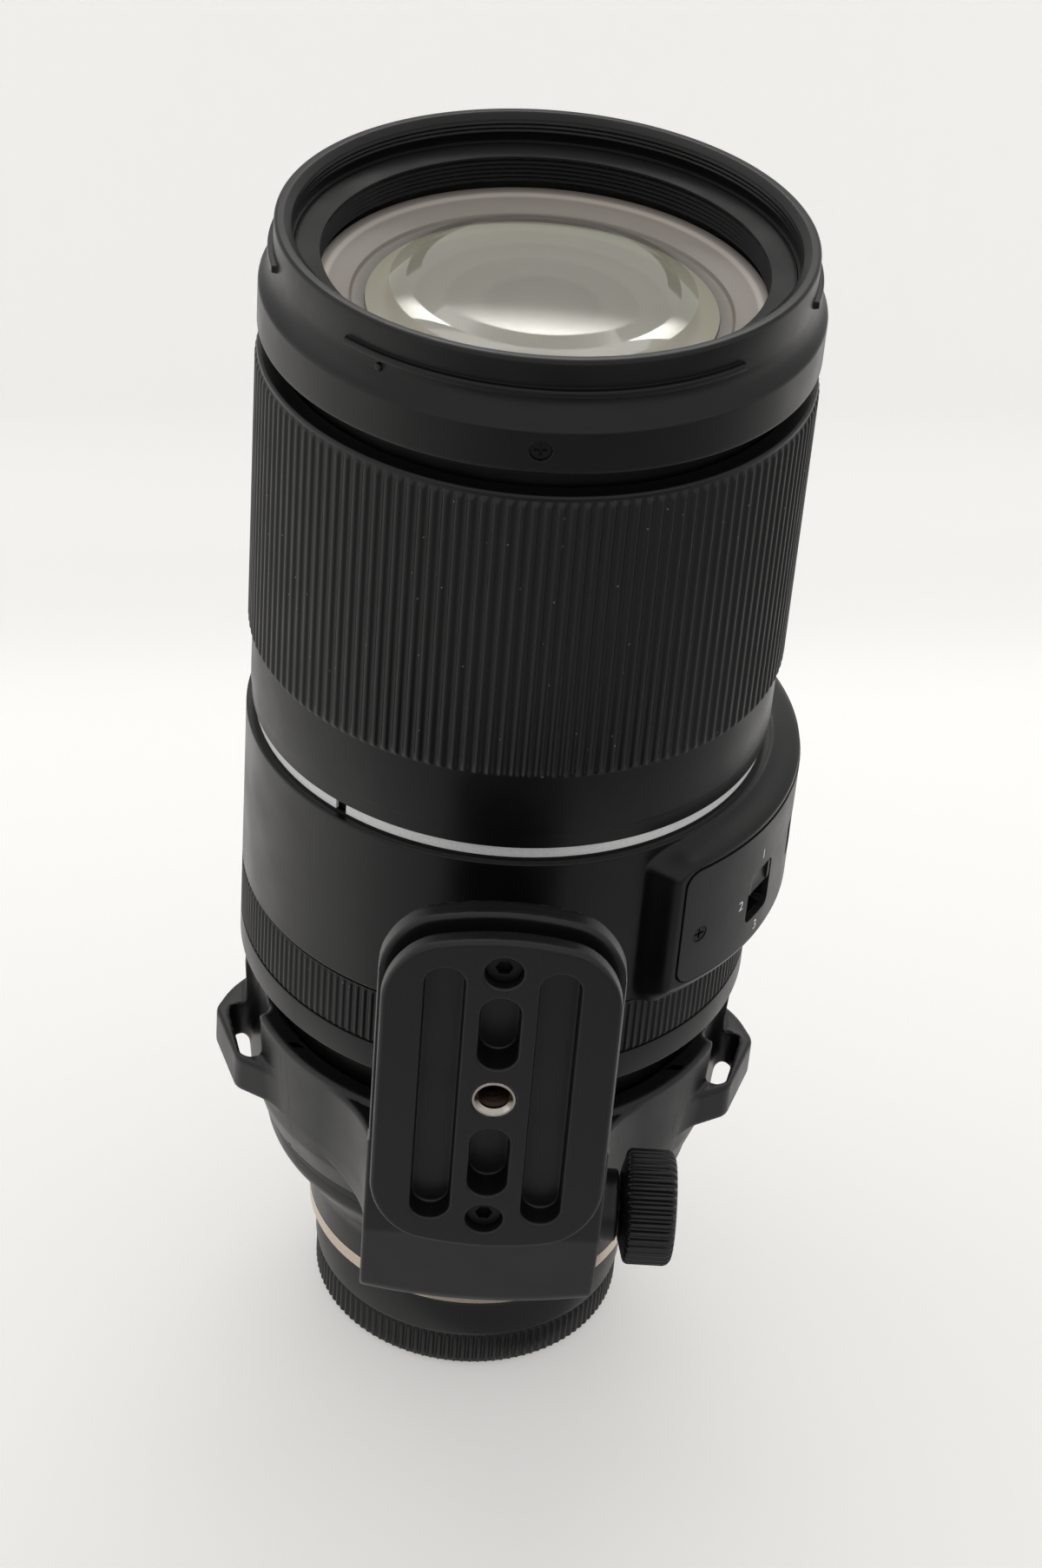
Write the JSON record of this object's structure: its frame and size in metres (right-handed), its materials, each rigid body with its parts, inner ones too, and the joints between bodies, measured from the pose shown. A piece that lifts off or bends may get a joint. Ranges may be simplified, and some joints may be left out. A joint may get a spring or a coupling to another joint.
{
  "type": "camera zoom lens",
  "caption": "Black telephoto zoom lens on its rear cap, with ribbed zoom and focus rings, a switch panel and a turning tripod collar with a dovetail foot.",
  "frame": {"origin": "on the optical axis, on the plane that the rear cap stands on", "axes": "+Z out of the front glass along the optical axis, -Y towards the tripod foot, +X towards the switch panel"},
  "size_m": [0.1024, 0.1246, 0.229],
  "materials": {
    "barrel_plastic": "fine matt black moulding",
    "ring_plastic": "matt black",
    "grip_rubber": "moulded ribs",
    "switch_panel": "satin black",
    "switch_plastic": "matt black",
    "mark_white": "matt light grey",
    "black_screw": "black zinc",
    "mount_metal": "turned, plated brass",
    "contact_plastic": "black with gold contacts",
    "trim_black": "matt black",
    "front_glass": "coated",
    "group_glass": "coated",
    "cell_black": "matt black",
    "sleeve_alloy": "black anodised",
    "circuit": "green solder mask",
    "steel": "ground",
    "magnet": "nickel plated",
    "copper": "enamelled copper wire",
    "brass": "turned",
    "iris_black": "matt black",
    "collar_alloy": "matt black coating on cast alloy",
    "bush_steel": "stainless",
    "liner": "felt",
    "knob_plastic": "matt black",
    "cap_plastic": "matt black"
  },
  "bodies": {
    "barrel": {"main_barrel": "barrel_plastic", "switch_plate": "switch_panel", "switch_plate_screws": "black_screw", "lock_mark_ring": "mark_white", "seat_barrel": "barrel_plastic", "guide_tube": "sleeve_alloy", "rear_barrel": "barrel_plastic", "mount_flange": "mount_metal", "mount_screws": "mount_metal", "contact_block": "contact_plastic", "rear_cell": "cell_black", "rear_glass": "group_glass", "circuit_board": "circuit", "focus_rods": "steel", "focus_magnet": "magnet", "stabiliser_base": "sleeve_alloy", "stabiliser_yoke": "copper", "iris_base": "sleeve_alloy"},
    "mode_switch": {"mode_switch": "switch_plastic"},
    "stabiliser_switch": {"stabiliser_switch": "switch_plastic"},
    "focus_switch": {"focus_switch": "switch_plastic"},
    "limiter_switch": {"limiter_switch": "switch_plastic"},
    "cam_sleeve": {"cam_sleeve": "sleeve_alloy"},
    "zoom_ring": {"zoom_ring": "ring_plastic", "zoom_grip": "grip_rubber", "zoom_keys": "steel"},
    "front_barrel": {"front_tube": "barrel_plastic", "front_ring": "barrel_plastic", "front_trim_ring": "trim_black", "front_cell": "trim_black", "front_glass": "front_glass", "bezel_screws": "black_screw", "cam_followers": "brass"},
    "variator": {"variator_cell": "cell_black", "variator_glass": "group_glass", "variator_followers": "brass"},
    "focus_ring": {"focus_ring": "ring_plastic", "focus_grip": "grip_rubber"},
    "focus_group": {"focus_cell": "cell_black", "focus_glass": "group_glass", "focus_coil": "copper"},
    "stabiliser_slider": {"stabiliser_slider": "sleeve_alloy"},
    "stabiliser_cell": {"stabiliser_cell": "cell_black", "stabiliser_glass": "group_glass", "stabiliser_magnets": "magnet"},
    "iris_ring": {"iris_ring": "iris_black"},
    "iris_blade_1": {"iris_blade_1": "iris_black"},
    "iris_blade_2": {"iris_blade_2": "iris_black"},
    "iris_blade_3": {"iris_blade_3": "iris_black"},
    "iris_blade_4": {"iris_blade_4": "iris_black"},
    "iris_blade_5": {"iris_blade_5": "iris_black"},
    "iris_blade_6": {"iris_blade_6": "iris_black"},
    "iris_blade_7": {"iris_blade_7": "iris_black"},
    "tripod_collar": {"tripod_collar": "collar_alloy", "tripod_foot": "collar_alloy", "foot_screws": "black_screw", "tripod_bush": "bush_steel", "collar_liner": "liner"},
    "clamp_knob": {"clamp_knob": "knob_plastic"},
    "rear_cap": {"rear_cap": "cap_plastic"}
  },
  "joints": [
    {"name": "zoom_turn", "type": "hinge", "parent": "barrel", "child": "cam_sleeve", "pos_m": [0, 0, 0.15], "axis": [0, 0, 1], "range_deg": [0, 75]},
    {"name": "zoom_lock", "type": "slide", "parent": "cam_sleeve", "child": "zoom_ring", "axis": [0, 0, 1], "range_m": [-0.0022, 0]},
    {"name": "zoom_extend", "type": "slide", "parent": "barrel", "child": "front_barrel", "axis": [0, 0, 1], "range_m": [0, 0.0737]},
    {"name": "variator_slide", "type": "slide", "parent": "barrel", "child": "variator", "axis": [0, 0, 1], "range_m": [0, 0.026]},
    {"name": "focus_turn", "type": "hinge", "parent": "barrel", "child": "focus_ring", "pos_m": [0, 0, 0.093], "axis": [0, 0, 1], "continuous": true},
    {"name": "focus_drive", "type": "slide", "parent": "barrel", "child": "focus_group", "axis": [0, 0, 1], "range_m": [-0.006, 0.014]},
    {"name": "stabiliser_x", "type": "slide", "parent": "barrel", "child": "stabiliser_slider", "axis": [1, 0, 0], "range_m": [-0.001, 0.001]},
    {"name": "stabiliser_y", "type": "slide", "parent": "stabiliser_slider", "child": "stabiliser_cell", "axis": [0, 1, 0], "range_m": [-0.001, 0.001]},
    {"name": "iris_turn", "type": "hinge", "parent": "barrel", "child": "iris_ring", "pos_m": [0, 0, 0.095], "axis": [0, 0, 1], "range_deg": [0, 4.91]},
    {"name": "blade_1_pivot", "type": "hinge", "parent": "barrel", "child": "iris_blade_1", "pos_m": [0, -0.025, 0.093], "axis": [0, 0, 1], "range_deg": [0, 34.01]},
    {"name": "blade_2_pivot", "type": "hinge", "parent": "barrel", "child": "iris_blade_2", "pos_m": [0.01955, -0.01559, 0.093], "axis": [0, 0, 1], "range_deg": [0, 34.01]},
    {"name": "blade_3_pivot", "type": "hinge", "parent": "barrel", "child": "iris_blade_3", "pos_m": [0.02437, 0.00556, 0.093], "axis": [0, 0, 1], "range_deg": [0, 34.01]},
    {"name": "blade_4_pivot", "type": "hinge", "parent": "barrel", "child": "iris_blade_4", "pos_m": [0.01085, 0.02252, 0.093], "axis": [0, 0, 1], "range_deg": [0, 34.01]},
    {"name": "blade_5_pivot", "type": "hinge", "parent": "barrel", "child": "iris_blade_5", "pos_m": [-0.01085, 0.02252, 0.093], "axis": [0, 0, 1], "range_deg": [0, 34.01]},
    {"name": "blade_6_pivot", "type": "hinge", "parent": "barrel", "child": "iris_blade_6", "pos_m": [-0.02437, 0.00556, 0.093], "axis": [0, 0, 1], "range_deg": [0, 34.01]},
    {"name": "blade_7_pivot", "type": "hinge", "parent": "barrel", "child": "iris_blade_7", "pos_m": [-0.01955, -0.01559, 0.093], "axis": [0, 0, 1], "range_deg": [0, 34.01]},
    {"name": "collar_turn", "type": "hinge", "parent": "barrel", "child": "tripod_collar", "pos_m": [0, 0, 0.0623], "axis": [0, 0, 1], "continuous": true},
    {"name": "clamp_turn", "type": "hinge", "parent": "tripod_collar", "child": "clamp_knob", "pos_m": [0.0245, -0.0536, 0.0668], "axis": [1, 0, 0], "continuous": true},
    {"name": "cap_twist", "type": "hinge", "parent": "barrel", "child": "rear_cap", "pos_m": [0, 0, 0.009], "axis": [0, 0, 1], "range_deg": [0, 60]},
    {"name": "mode_switch_slide", "type": "slide", "parent": "barrel", "child": "mode_switch", "axis": [0, 0, 1], "range_m": [-0.0056, 0]},
    {"name": "stabiliser_switch_slide", "type": "slide", "parent": "barrel", "child": "stabiliser_switch", "axis": [0, 0, 1], "range_m": [-0.0028, 0]},
    {"name": "focus_switch_slide", "type": "slide", "parent": "barrel", "child": "focus_switch", "axis": [0, 0, 1], "range_m": [-0.0028, 0]},
    {"name": "limiter_switch_slide", "type": "slide", "parent": "barrel", "child": "limiter_switch", "axis": [0, 0, 1], "range_m": [-0.0056, 0]}
  ],
  "couplings": [
    {"joint": "zoom_extend", "follows": "zoom_turn", "m_per_rad": 0.056303},
    {"joint": "variator_slide", "follows": "zoom_turn", "m_per_rad": 0.019863},
    {"joint": "blade_1_pivot", "follows": "iris_turn", "ratio": 6.9262},
    {"joint": "blade_2_pivot", "follows": "iris_turn", "ratio": 6.9262},
    {"joint": "blade_3_pivot", "follows": "iris_turn", "ratio": 6.9262},
    {"joint": "blade_4_pivot", "follows": "iris_turn", "ratio": 6.9262},
    {"joint": "blade_5_pivot", "follows": "iris_turn", "ratio": 6.9262},
    {"joint": "blade_6_pivot", "follows": "iris_turn", "ratio": 6.9262},
    {"joint": "blade_7_pivot", "follows": "iris_turn", "ratio": 6.9262}
  ]
}
